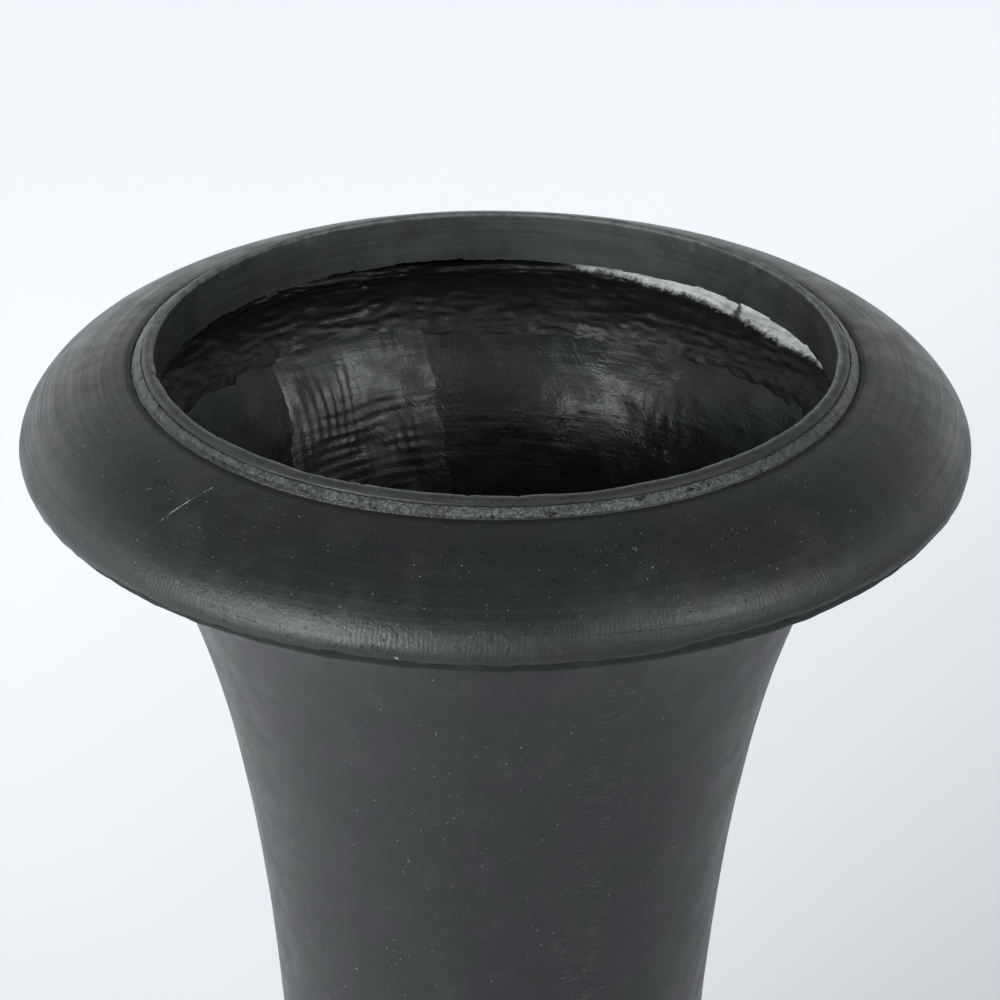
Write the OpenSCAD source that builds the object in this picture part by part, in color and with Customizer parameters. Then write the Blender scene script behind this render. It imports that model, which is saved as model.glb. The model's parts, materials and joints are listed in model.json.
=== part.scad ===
// Tall trumpet planter hand-laid in fibre clay: two moulded half shells butted on a seam,
// a separately moulded hollow collar, a mouth ring, glass-cloth joint tapes and a drained base.
// Millimetres. Origin at the centre of the foot on the floor, +Z up, front towards -Y.

/* [Overall] */
// Height from the floor to the top of the mouth
total_h = 650; // [560:10:900]
// Outer diameter of the collar
collar_d = 400; // [390:5:520]
// Clear diameter of the mouth
mouth_d = 285; // [180:5:295]
// Angle from the front to the body's near seam, towards +X
seam_angle = 21; // [0:1:90]

/* [Body shell] */
// Outer diameter that the middle of the body tapers towards
waist_d = 176; // [140:2:220]
// Outer diameter of the foot on the floor
foot_d = 236; // [200:2:300]
// Depth of the flange's underside below the mouth
neck_depth = 49; // [47:1:70]
// Distance over which the long flare of the bell dies away
bell_reach = 134; // [80:2:180]
// Extra flare close under the collar
lip_flare = 12; // [0:1:20]
// Distance over which that extra flare dies away
lip_reach = 15; // [10:1:40]
// Distance over which the flare of the foot dies away
foot_reach = 60; // [30:2:100]
// Thickness of the moulded shell and of its top flange
shell_wall = 5; // [4:0.5:8]
// Width of the flange from the bell to its edge
flange_w = 12.5; // [9:0.5:16]
// Width of the foot flange that the planter stands on
foot_w = 24; // [14:1:40]
// Thickness of the foot flange
foot_t = 8; // [6:0.5:14]

/* [Collar] */
// Depth of the groove at the foot of the lip below the mouth
groove_depth = 6; // [3:0.5:9]
// Depth of the collar's widest line below the mouth
nose_depth = 38.5; // [30:0.5:44]
// Exponent of the dome's curve, where 2 is round and 1 is straight
dome_power = 1.69; // [1.3:0.01:2.4]
// Width of the rolled edge under the widest line
roll_w = 10; // [6:0.5:12]
// Width from the widest line in to the skirt's inner face
skirt_w = 12; // [12:0.5:20]
// Thickness of the collar's skin
collar_wall = 5; // [4:0.5:7]
// Width of the ledge inside the collar that lies on the flange
ledge_w = 10; // [6:0.5:12]

/* [Mouth ring] */
// Height of the ring from its lower edge to the mouth
ring_h = 23; // [18:1:36]
// Thickness of the ring's wall
ring_wall = 5.5; // [4:0.5:8]
// Drop from the inner edge of the lip to its shoulder
lip_drop = 1.8; // [1:0.1:3]
// Radius of the lip's inner edge
lip_round = 1; // [0.5:0.1:1.5]
// Width of the flange under the dome's inner edge
ring_flange_w = 16; // [12:0.5:20]
// Thickness of that flange
ring_flange_t = 4; // [3:0.5:5]
// Gap between ring and dome that the lip filler closes
lip_gap = 4.3; // [3:0.1:6]

/* [Cloth, mat and filler] */
// Thickness of the glass-mat lining
mat_t = 1.5; // [1:0.1:3]
// Thickness of the woven tapes
tape_t = 1.2; // [0.8:0.1:2]
// Width of the tapes inside the two body seams
seam_tape_w = 90; // [50:5:110]
// Angle past its seam at which each woven tape is centred
tape_shift = 7; // [0:1:12]
// Depth below the mouth that the neck tape reaches down to
neck_tape_depth = 68; // [62:1:100]
// Reach of the neck tape on the collar's ledge
neck_tape_lap = 8; // [5:0.5:9]
// Height and width of the base tape's two legs
base_tape_leg = 40; // [20:1:50]
// Width of the filler strips in the outside seams
seam_filler_w = 6; // [3:0.5:10]
// Depth of the filler strips
seam_filler_t = 2; // [1:0.5:3]
// Width of the filler between the flange's edge and the collar
joint_filler_w = 4; // [3:0.5:5]

/* [Base and drain] */
// Thickness of the base disc
base_t = 6; // [4:0.5:10]
// Gap between the base disc's edge and the shell
base_gap = 0.5; // [0.3:0.1:1]
// Diameter of the drain hole
drain_d = 20; // [12:1:30]
// Clearance round the plug's shank
plug_gap = 0.05; // [0.02:0.01:0.1]
// Diameter of the plug's head
plug_head_d = 32; // [28:1:44]
// Thickness of the plug's head
plug_head_t = 4; // [3:0.5:5]
// Length of shank that stands above the base disc
plug_proud = 4; // [2:0.5:8]

/* [Hidden] */
$fn = 180;

far = 2 * collar_d;               // longer than any section is wide
skin_steps = 60;                  // straight stretches along the body's curve
curve_steps = 14;                 // straight stretches along each curve of the collar
skin_over = 12;                   // how far the curve is drawn past both ends before it is cut

waist_r = waist_d / 2;
foot_r = foot_d / 2;
collar_r = collar_d / 2;
mouth_r = mouth_d / 2;

neck_z = total_h - neck_depth;            // underside of the flange and of the collar
flange_z = neck_z + shell_wall;           // top of the flange, where the collar's ledge lies
ledge_z = flange_z + collar_wall;         // top of that ledge
skirt_r = collar_r - skirt_w;             // inside of the collar's skirt round the flange
flange_r = skirt_r - joint_filler_w;
neck_r = flange_r - flange_w;             // outside of the bell under its flange
ledge_r = flange_r - ledge_w;             // inner edge of the ledge

nose_z = total_h - nose_depth;
ring_r = mouth_r + ring_wall;
groove_r = ring_r + lip_gap;
groove_z = total_h - groove_depth;
land_z = groove_z - collar_wall;          // where the dome's inner edge lies on the ring's flange
ring_flange_r = ring_r + ring_flange_w;

mat_depth = shell_wall + mat_t;           // depth of the mat's face below the outer skin
tape_depth = mat_depth + tape_t;
base_z = foot_t;                          // underside of the base disc
base_top = base_z + base_t;
drain_r = drain_d / 2;

// ---- the body's curve, as radius, slope and a point at some depth under the skin ----

function flare(z) = (neck_r - waist_r - lip_flare) * exp((z - neck_z) / bell_reach);
function lip(z) = lip_flare * exp((z - neck_z) / lip_reach);
function foot(z) = (foot_r - waist_r) * exp(-z / foot_reach);
function body_r(z) = waist_r + flare(z) + lip(z) + foot(z);
function body_slope(z) = flare(z) / bell_reach + lip(z) / lip_reach - foot(z) / foot_reach;
function skin_point(z, depth) =
    let (s = body_slope(z), n = sqrt(1 + s * s))
    [body_r(z) - depth / n, z + depth * s / n];
function skin_z(i) =
    let (t = 1 - i / skin_steps, low = -skin_over, high = neck_z + skin_over)
    high - (high - low) * pow(t, 1.4);
function skin(depth) = [for (i = [0:skin_steps]) skin_point(skin_z(i), depth)];
function reversed(list) = [for (i = [len(list) - 1:-1:0]) list[i]];

// Inner radius at a height, at some depth under the skin, by following the sampled curve
function skin_r(z, depth) = lookup(z, [for (p = skin(depth)) [p[1], p[0]]]);

// Everything between two depths under the body's skin, cut off level at two heights
module skin_band(depth_a, depth_b, z_low, z_high) {
    intersection() {
        polygon(concat(skin(depth_a), reversed(skin(depth_b))));
        translate([0, z_low]) square([far, z_high - z_low]);
    }
}

// A rectangle in a section, from its inner radius and underside
module block(r_in, r_out, z_low, z_high) {
    translate([r_in, z_low]) square([r_out - r_in, z_high - z_low]);
}

// Turns to the seam's direction; side 0 is the front seam and side 1 the back seam
module at_seam(side) {
    rotate([0, 0, seam_angle - 90 + 180 * side]) children();
}

// The part of a ring that lies within a strip of the given width along one seam
module along_seam(side, width) {
    intersection() {
        rotate_extrude() children();
        at_seam(side) translate([0, -width / 2, -skin_over]) cube([far, width, total_h + skin_over]);
    }
}

// ---- body ----

module body_section() {
    skin_band(0, shell_wall, 0, flange_z);
    block(skin_r(flange_z, shell_wall), flange_r, neck_z, flange_z);
    block(foot_r - foot_w, skin_r(foot_t / 2, shell_wall / 2), 0, foot_t);
}

module body_half(side) {
    color([0.20, 0.21, 0.21])
    difference() {
        at_seam(side) rotate_extrude(angle = 180) body_section();
        for (seam = [0, 1]) seam_groove(seam);
    }
}

// Groove ground along the outside of a seam, cut from clear of the skin down to the filler's depth
module seam_groove(side) {
    along_seam(side, seam_filler_w) skin_band(-seam_filler_t, seam_filler_t, -seam_filler_t, neck_z);
}

// Sanded strip of filler in the outside of a seam
module seam_filler(side) {
    color([0.24, 0.25, 0.24])
    along_seam(side, seam_filler_w) skin_band(0, seam_filler_t, 0, neck_z);
}

// Chopped glass mat laid inside one half, from the base disc to the flange
module mat_lining(side) {
    color([0.10, 0.10, 0.11])
    at_seam(side) rotate_extrude(angle = 180)
        skin_band(shell_wall, mat_depth, base_top, flange_z);
}

// Woven tape over the inside of a seam, between the base tape and the neck tape
module seam_tape(side) {
    color([0.14, 0.15, 0.15])
    rotate([0, 0, tape_shift]) along_seam(side, seam_tape_w)
        skin_band(mat_depth, tape_depth, base_top + base_tape_leg, total_h - neck_tape_depth);
}

// ---- collar ----

// Quarter of a superellipse from [r0, z0 + h] to [r0 + w, z0], through angles from_a to to_a
function quarter(r0, z0, w, h, power, from_a, to_a) =
    [for (i = [0:curve_steps])
        let (a = from_a + (to_a - from_a) * i / curve_steps)
        [r0 + w * pow(sin(a), 2 / power), z0 + h * pow(cos(a), 2 / power)]];

// Upper face of the dome, and its lower face one wall further in
function dome() = quarter(groove_r, nose_z, collar_r - groove_r, groove_z - nose_z, dome_power, 0, 90);
function dome_inside() = quarter(groove_r, nose_z, collar_r - groove_r - collar_wall,
                                 land_z - nose_z, dome_power, 0, 90);

// Rolled edge from the widest line down to the flat underside
function roll() = [for (i = [1:curve_steps])
    let (a = 90 * i / curve_steps)
    [collar_r - roll_w * (1 - cos(a)), nose_z - (nose_z - neck_z) * sin(a)]];

module collar_section() {
    difference() {
        polygon(concat(dome(), roll(), [[skirt_r, neck_z], [skirt_r, flange_z],
                                        [ledge_r, flange_z], [ledge_r, ledge_z],
                                        [groove_r, ledge_z]]));
        collar_hollow();
        block(0, ring_flange_r, ledge_z, land_z);
    }
}

// Air inside the collar, from its ledge up to the dome's lower face, open towards the mouth
module collar_hollow() {
    low_z = min(nose_z, ledge_z);
    intersection() {
        polygon(concat(dome_inside(), [[collar_r - collar_wall, low_z], [0, low_z], [0, land_z]]));
        block(0, far, ledge_z, total_h);
    }
}

module collar() {
    color([0.21, 0.22, 0.22]) rotate_extrude() collar_section();
}

// Filler between the flange's edge and the collar's skirt
module collar_joint_filler() {
    color([0.16, 0.17, 0.16]) rotate_extrude() block(flange_r, skirt_r, neck_z, flange_z);
}

// Wrinkled strips of cloth over the joint, from the bell's lining up on to the collar's ledge
module neck_tape() {
    lining_r = skin_r(flange_z, mat_depth);
    color([0.12, 0.12, 0.13])
    rotate_extrude() {
        skin_band(mat_depth, tape_depth, total_h - neck_tape_depth, flange_z + tape_t);
        block(lining_r - tape_t, ledge_r, flange_z, flange_z + tape_t);
        block(ledge_r - tape_t, ledge_r, flange_z, ledge_z + tape_t);
        block(ledge_r - tape_t, ledge_r + neck_tape_lap, ledge_z, ledge_z + tape_t);
    }
}

// ---- mouth ----

module mouth_ring_section() {
    round_in = [for (i = [0:6])
        let (a = 180 - 90 * i / 6)
        [mouth_r + lip_round * (1 + cos(a)), total_h - lip_round * (1 - sin(a))]];
    polygon(concat(round_in, [
        [ring_r - lip_drop, total_h - lip_drop / 3], [ring_r, total_h - lip_drop], [ring_r, land_z],
        [ring_flange_r, land_z], [ring_flange_r, land_z - ring_flange_t],
        [ring_r, land_z - ring_flange_t], [ring_r, total_h - ring_h], [mouth_r, total_h - ring_h]]));
}

module mouth_ring() {
    color([0.23, 0.24, 0.24]) rotate_extrude() mouth_ring_section();
}

// Rough filler that slopes from the lip's shoulder down to the groove
module lip_filler() {
    color([0.30, 0.31, 0.31])
    rotate_extrude()
        polygon([[ring_r, land_z], [groove_r, land_z], [groove_r, groove_z], [ring_r, total_h - lip_drop]]);
}

// Cloth under the ring's flange and the dome, out of sight inside the collar
module lip_tape() {
    low_z = land_z - ring_flange_t;
    color([0.70, 0.70, 0.67])
    rotate_extrude() {
        block(ring_r + 2, ring_flange_r + tape_t, low_z - tape_t, low_z);
        block(ring_flange_r, ring_flange_r + tape_t, low_z - tape_t, lookup(ring_flange_r + tape_t, dome_inside()));
    }
}

// ---- base and drain ----

module base_disc() {
    color([0.55, 0.55, 0.53])
    difference() {
        translate([0, 0, base_z])
            cylinder(r = skin_r(base_top, shell_wall) - base_gap, h = base_t);
        translate([0, 0, base_z - 1]) cylinder(r = drain_r, h = base_t + 2);
    }
}

// Cloth in the corner between the base disc and the lining
module base_tape() {
    lining_r = skin_r(base_top, mat_depth);
    color([0.12, 0.12, 0.13])
    rotate_extrude() {
        skin_band(mat_depth, tape_depth, base_top, base_top + base_tape_leg);
        block(lining_r - base_tape_leg, lining_r - tape_t / 2, base_top, base_top + tape_t);
    }
}

// Rubber bung pushed up into the drain hole from below
module drain_plug() {
    shank_r = drain_r - plug_gap;
    color([0.05, 0.05, 0.05]) {
        translate([0, 0, base_z - plug_head_t]) cylinder(r = plug_head_d / 2, h = plug_head_t);
        translate([0, 0, base_z]) cylinder(r = shank_r, h = base_t);
        translate([0, 0, base_top]) cylinder(r1 = shank_r, r2 = shank_r - plug_proud / 4, h = plug_proud);
    }
}

body_half(1);  // body_half_left
body_half(0);  // body_half_right
seam_filler(0);  // seam_filler_front
seam_filler(1);  // seam_filler_back
mat_lining(1);  // mat_lining_left
mat_lining(0);  // mat_lining_right
seam_tape(0);  // seam_tape_front
seam_tape(1);  // seam_tape_back
collar();
collar_joint_filler();
neck_tape();
mouth_ring();
lip_filler();
lip_tape();
base_disc();
base_tape();
drain_plug();
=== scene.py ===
"""Looks of a tall trumpet planter laid up in fibre clay and painted satin black."""
import json
import math

import bmesh
import bpy
from mathutils import Euler, Matrix, Vector, noise


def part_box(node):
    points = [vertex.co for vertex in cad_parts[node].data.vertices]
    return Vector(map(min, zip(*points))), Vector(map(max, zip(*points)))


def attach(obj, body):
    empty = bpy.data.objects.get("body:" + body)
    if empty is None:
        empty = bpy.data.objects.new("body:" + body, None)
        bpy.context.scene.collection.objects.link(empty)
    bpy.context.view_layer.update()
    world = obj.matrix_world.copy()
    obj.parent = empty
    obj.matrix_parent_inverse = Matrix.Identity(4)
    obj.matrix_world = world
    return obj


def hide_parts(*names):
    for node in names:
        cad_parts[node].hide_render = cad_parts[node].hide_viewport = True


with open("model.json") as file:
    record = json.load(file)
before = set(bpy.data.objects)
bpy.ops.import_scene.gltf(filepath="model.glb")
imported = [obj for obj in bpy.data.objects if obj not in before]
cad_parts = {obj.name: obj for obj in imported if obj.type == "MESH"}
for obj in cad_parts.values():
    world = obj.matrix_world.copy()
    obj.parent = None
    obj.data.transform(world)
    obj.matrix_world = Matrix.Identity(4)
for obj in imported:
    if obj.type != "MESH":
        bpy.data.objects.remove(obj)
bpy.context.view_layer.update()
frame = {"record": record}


# ---- Camera ----
# It stands a good metre in front of the mouth and half a metre above it, and looks down into it
# through a long lens, a hair off level.
mouth_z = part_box("mouth_ring")[1].z
camera = bpy.data.objects.new("camera", bpy.data.cameras.new("camera"))
camera.data.lens = 115.2
camera.data.sensor_width = 36
camera.location = (0, -1.223, mouth_z + 0.548)
look = Euler((math.radians(90 - 26.99), 0, math.radians(-0.10))).to_matrix()
camera.rotation_euler = (look @ Matrix.Rotation(math.radians(0.31), 3, "Z")).to_euler()
bpy.context.scene.collection.objects.link(camera)
bpy.context.scene.camera = camera


# ---- Room ----
# A plain pale floor in a pale studio whose walls glow more on the left than on the right, with a dim
# ceiling, a big softbox to the front left and a weaker one to the front right.
scene = bpy.context.scene
scene.view_settings.view_transform = "Standard"


def smooth_share(tree, value, low, high, most=1.0):
    """Adds a node that goes smoothly from 0 to the most while a value goes from low to high."""
    share = tree.nodes.new("ShaderNodeMapRange")
    share.interpolation_type = "SMOOTHSTEP"
    share.inputs["From Min"].default_value = low
    share.inputs["From Max"].default_value = high
    share.inputs["To Max"].default_value = most
    tree.links.new(value, share.inputs["Value"])
    return share.outputs["Result"]


floor_mesh = bpy.data.meshes.new("floor")
floor_bm = bmesh.new()
bmesh.ops.create_grid(floor_bm, x_segments=1, y_segments=1, size=9)
floor_bm.to_mesh(floor_mesh)
floor_bm.free()
floor = bpy.data.objects.new("floor", floor_mesh)
scene.collection.objects.link(floor)
floor_paint = bpy.data.materials.new("floor_paint")
floor_paint.use_nodes = True
floor_tree = floor_paint.node_tree
floor_sockets = floor_tree.nodes["Principled BSDF"].inputs
floor_sockets["Base Color"].default_value = (0.58, 0.60, 0.62, 1)
floor_sockets["Roughness"].default_value = 0.9
floor_sockets["Emission Color"].default_value = (0.93, 0.96, 1.0, 1)
# The floor glows, brighter towards the back left than the front right: painted light coming from the floor
# itself.
floor_place = floor_tree.nodes.new("ShaderNodeTexCoord").outputs["Object"]
backlight = floor_tree.nodes.new("ShaderNodeVectorMath")
backlight.operation = "DOT_PRODUCT"
backlight.inputs[1].default_value = (-0.8, 1.0, 0)
floor_tree.links.new(floor_place, backlight.inputs[0])
backlit = smooth_share(floor_tree, backlight.outputs["Value"], -1.1, 1.7, 0.64)
floor_tree.links.new(backlit, floor_sockets["Emission Strength"])
floor_mesh.materials.append(floor_paint)

room = bpy.data.worlds.new("room")
scene.world = room
room.use_nodes = True
sky = room.node_tree
glow = sky.nodes["Background"]
direction = sky.nodes.new("ShaderNodeTexCoord").outputs["Generated"]
axes = sky.nodes.new("ShaderNodeSeparateXYZ")
sky.links.new(direction, axes.inputs[0])
height_share = smooth_share(sky, axes.outputs["Z"], 0.10, 0.70)
left_share = smooth_share(sky, axes.outputs["X"], 0.6, -1.0)
walls = sky.nodes.new("ShaderNodeMix")
walls.data_type = "RGBA"
walls.inputs["A"].default_value = (0.95, 0.98, 1.00, 1)
walls.inputs["B"].default_value = (1.50, 1.58, 1.60, 1)
sky.links.new(left_share, walls.inputs["Factor"])
ceiling = sky.nodes.new("ShaderNodeMix")
ceiling.data_type = "RGBA"
ceiling.inputs["B"].default_value = (0.24, 0.25, 0.26, 1)
sky.links.new(height_share, ceiling.inputs["Factor"])
sky.links.new(walls.outputs["Result"], ceiling.inputs["A"])
sky.links.new(ceiling.outputs["Result"], glow.inputs["Color"])


def softbox(name, place, aim, width, height, watts, colour):
    """A rectangular area light that points from its place at a spot on the planter."""
    lamp = bpy.data.lights.new(name, "AREA")
    lamp.shape = "RECTANGLE"
    lamp.size = width
    lamp.size_y = height
    lamp.energy = watts
    lamp.color = colour
    box = bpy.data.objects.new(name, lamp)
    box.location = place
    box.rotation_euler = (Vector(aim) - Vector(place)).to_track_quat("-Z", "Y").to_euler()
    box.visible_camera = False
    scene.collection.objects.link(box)


softbox("softbox_left", (-1.36, -1.54, 0.96), (0, 0, 0.60), 1.2, 1.0, 42, (0.97, 1.0, 0.99))
softbox("softbox_right", (1.60, -1.32, 1.58), (0, 0, 0.60), 1.0, 0.9, 17, (0.97, 1.0, 0.99))


# ---- Body halves ----
# Two half shells of fibre clay, five millimetres thick, taken from their moulds and butted together.
# Each has a flange at the top that the collar sits on, a foot flange that it stands on, and a groove
# ground along both edges for filler. Satin black paint covers the outside.
neck_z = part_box("collar")[0].z
flange_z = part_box("body_half_left")[1].z
flange_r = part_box("collar_joint_filler")[1].x - 0.004
neck_r = flange_r - 0.0125
waist_r = 0.088
foot_r = 0.118
foot_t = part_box("base_disc")[0].z
shell_wall = 0.005
seam_turn = math.radians(21 - 90)
groove_half = 0.003
groove_deep = 0.002
bell_fade = 0.134
lip_flare = 0.012
lip_fade = 0.015
foot_fade = 0.060
foot_flange_w = 0.024
shell_row = 0.003
half_steps = 168


def flares(z):
    """Three parts of the body's radius that die away: below the flange, below its lip, above the foot."""
    below = z - neck_z
    bell = (neck_r - waist_r - lip_flare) * math.exp(below / bell_fade)
    lip = lip_flare * math.exp(below / lip_fade)
    foot = (foot_r - waist_r) * math.exp(-z / foot_fade)
    return bell, lip, foot


def skin(z, depth):
    """The point (radius, height) at some depth under the outer skin, square to it."""
    bell, lip, foot = flares(z)
    slope = bell / bell_fade + lip / lip_fade - foot / foot_fade
    stretch = math.sqrt(1 + slope * slope)
    return waist_r + bell + lip + foot - depth / stretch, z + depth * slope / stretch


def skin_run(low, high, step, depth):
    """Points at one depth under the skin, from one height up to another."""
    count = max(2, round((high - low) / step))
    return [skin(low + (high - low) * i / count, depth) for i in range(count + 1)]


def run_length(points):
    """Length of a run of points, which is how far along its outline its last vertex lies."""
    return sum(math.dist(a, b) for a, b in zip(points, points[1:]))


def spun(outline, steps, start=0.0, sweep=math.tau):
    """A closed outline of (radius, height) points spun about the planter's axis, whole or in part.
    Each vertex keeps how far along the outline it lies."""
    bm = bmesh.new()
    along = bm.verts.layers.float.new("along")
    turn = Matrix.Rotation(start, 3, "Z")
    corners = []
    length = 0.0
    for i, (r, z) in enumerate(outline):
        corner = bm.verts.new(turn @ Vector((r, 0, z)))
        length += math.dist(outline[i], outline[max(i - 1, 0)])
        corner[along] = length
        corners.append(corner)
    edges = [bm.edges.new(pair) for pair in zip(corners, corners[1:] + corners[:1])]
    whole = abs(sweep - math.tau) < 1e-6
    bmesh.ops.spin(bm, geom=corners + edges, cent=(0, 0, 0), axis=(0, 0, 1), dvec=(0, 0, 0),
                   angle=sweep, steps=steps, use_merge=whole, use_normal_flip=False, use_duplicate=False)
    if not whole:
        bmesh.ops.holes_fill(bm, edges=[e for e in bm.edges if e.is_boundary], sides=0)
    bmesh.ops.recalc_face_normals(bm, faces=bm.faces)
    return bm


def pushed(bm, push):
    """Moves every vertex along its normal by what push gives for its place and its way along the outline."""
    bm.normal_update()
    along = bm.verts.layers.float["along"]
    for v in bm.verts:
        v.co += v.normal * push(v.co, v[along])
    bm.normal_update()


noise.seed_set(1)


def lumps(place, size, octaves=2):
    """Even, repeatable unevenness between about -1 and 1, with bumps of the given size."""
    return noise.fractal(place / size, 1.0, 2.0, octaves)


def set_down(name, bm, *finishes, crease=40):
    """Turns a bmesh into an object at the origin with its finishes and smooth shading."""
    mesh = bpy.data.meshes.new(name)
    bm.to_mesh(mesh)
    bm.free()
    mesh.shade_smooth()
    mesh.set_sharp_from_angle(angle=math.radians(crease))
    for finish in finishes:
        mesh.materials.append(finish)
    thing = bpy.data.objects.new(name, mesh)
    scene.collection.objects.link(thing)
    return thing


class Finish:
    """A material being mixed: short ways to add its nodes and join them, and one shared relief."""

    def __init__(self, name):
        self.material = bpy.data.materials.new(name)
        self.material.use_nodes = True
        self.tree = self.material.node_tree
        self.surface = self.tree.nodes["Principled BSDF"]
        self.place = self.tree.nodes.new("ShaderNodeTexCoord").outputs["Object"]
        self.x, self.y, self.z = self.parts(self.place)
        self.relief = None
        self.ragged = self.shaken(900.0, 0.0016)
        self.bent = self.shaken(90.0, 0.009)

    def join(self, value, socket):
        if isinstance(value, bpy.types.NodeSocket):
            self.tree.links.new(value, socket)
        else:
            socket.default_value = value

    def parts(self, vector):
        node = self.tree.nodes.new("ShaderNodeSeparateXYZ")
        self.join(vector, node.inputs[0])
        return node.outputs

    def vector(self, x, y, z):
        node = self.tree.nodes.new("ShaderNodeCombineXYZ")
        for value, socket in zip((x, y, z), node.inputs):
            self.join(value, socket)
        return node.outputs[0]

    def math(self, operation, a, b=0.0, c=0.0):
        node = self.tree.nodes.new("ShaderNodeMath")
        node.operation = operation
        for value, socket in zip((a, b, c), node.inputs):
            self.join(value, socket)
        return node.outputs[0]

    def plus(self, a, b):
        return self.math("ADD", a, b)

    def times(self, a, b):
        return self.math("MULTIPLY", a, b)

    def most(self, a, b):
        return self.math("MAXIMUM", a, b)

    def length(self, a, b):
        return self.math("SQRT", self.plus(self.math("POWER", a, 2.0), self.math("POWER", b, 2.0)))

    def azimuth(self):
        return self.math("ARCTAN2", self.y, self.x)

    def radius(self):
        return self.length(self.x, self.y)

    def along(self):
        node = self.tree.nodes.new("ShaderNodeAttribute")
        node.attribute_name = "along"
        return node.outputs["Fac"]

    def stretched(self, x, y, z):
        """The place with each axis multiplied, so that a pattern is drawn out along the smallest."""
        return self.vector(self.times(self.x, x), self.times(self.y, y), self.times(self.z, z))

    def turned(self, turn, stretch):
        """The place turned by three angles and then stretched, for patterns with a direction."""
        node = self.tree.nodes.new("ShaderNodeMapping")
        node.vector_type = "TEXTURE"
        self.join(self.bent, node.inputs["Vector"])
        node.inputs["Rotation"].default_value = turn
        node.inputs["Scale"].default_value = stretch
        return node.outputs[0]

    def shaken(self, scale, reach):
        """The place pushed about at random by up to half the given reach, to make outlines ragged."""
        grain = self.tree.nodes.new("ShaderNodeTexNoise")
        self.join(self.place, grain.inputs["Vector"])
        grain.inputs["Scale"].default_value = scale
        push = self.tree.nodes.new("ShaderNodeVectorMath")
        push.operation = "MULTIPLY_ADD"
        self.join(grain.outputs["Color"], push.inputs[0])
        push.inputs[1].default_value = (reach, reach, reach)
        self.join(self.place, push.inputs[2])
        return push.outputs[0]

    def noise(self, place, scale, detail=2.0, roughness=0.5):
        node = self.tree.nodes.new("ShaderNodeTexNoise")
        self.join(place, node.inputs["Vector"])
        node.inputs["Scale"].default_value = scale
        node.inputs["Detail"].default_value = detail
        node.inputs["Roughness"].default_value = roughness
        return node.outputs[0]

    def grain(self, scale, detail=2.0, roughness=0.5):
        return self.noise(self.place, scale, detail, roughness)

    def cells(self, place, scale):
        """Distance to the nearest of scattered points, and a random number for that point."""
        node = self.tree.nodes.new("ShaderNodeTexVoronoi")
        self.join(place, node.inputs["Vector"])
        node.inputs["Scale"].default_value = scale
        return node.outputs["Distance"], self.parts(node.outputs["Color"])[0]

    def ease(self, value, low, high, out_low=0.0, out_high=1.0):
        """Goes smoothly from one value to another while the input goes from low to high."""
        node = self.tree.nodes.new("ShaderNodeMapRange")
        node.interpolation_type = "SMOOTHSTEP"
        for number, socket in zip((value, low, high, out_low, out_high), node.inputs):
            self.join(number, socket)
        return node.outputs[0]

    def mix(self, share, a, b):
        node = self.tree.nodes.new("ShaderNodeMix")
        node.data_type = "RGBA"
        self.join(share, node.inputs["Factor"])
        for value, socket in ((a, node.inputs["A"]), (b, node.inputs["B"])):
            self.join(value if isinstance(value, bpy.types.NodeSocket) else (*value, 1.0), socket)
        return node.outputs["Result"]

    def raised(self, amount, metres):
        """Adds a height of so many metres to the relief."""
        height = self.times(amount, metres)
        self.relief = height if self.relief is None else self.plus(self.relief, height)

    def spots(self, scale, share, widest):
        """Ragged spots in the given share of the cells, none wider than the given part of a cell."""
        distance, chance = self.cells(self.ragged, scale)
        size = self.ease(chance, 1.0 - share, 1.0, 0.0, widest)
        return self.ease(distance, size, self.times(size, 0.55))

    def scratches(self, turn, share, long):
        """Fine scratches of about the given length that all run much the same way."""
        distance, chance = self.cells(self.turned(turn, (long / 5, long / 5, long)), 1.0)
        keep = self.math("GREATER_THAN", chance, 1.0 - share)
        line = self.ease(distance, 0.14, 0.06)
        broken = self.ease(self.grain(650.0), 0.44, 0.56)
        return self.times(self.times(line, keep), broken)

    def finished(self, colour, roughness, gloss=0.5):
        self.join(colour, self.surface.inputs["Base Color"])
        self.join(roughness, self.surface.inputs["Roughness"])
        self.surface.inputs["Specular IOR Level"].default_value = gloss
        self.surface.inputs["Specular Tint"].default_value = (0.97, 1.0, 0.985, 1)
        if self.relief is not None:
            bump = self.tree.nodes.new("ShaderNodeBump")
            bump.inputs["Distance"].default_value = 1.0
            self.join(self.relief, bump.inputs["Height"])
            self.join(bump.outputs[0], self.surface.inputs["Normal"])
        return self.material


black_green = (0.0060, 0.0110, 0.0082)
black_violet = (0.0105, 0.0080, 0.0112)
thin_black = (0.022, 0.023, 0.023)
chalk_fleck = (0.26, 0.28, 0.26)
shadow_black = (0.004, 0.005, 0.004)
pit_shade_black = (0.004, 0.004, 0.004)


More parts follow.
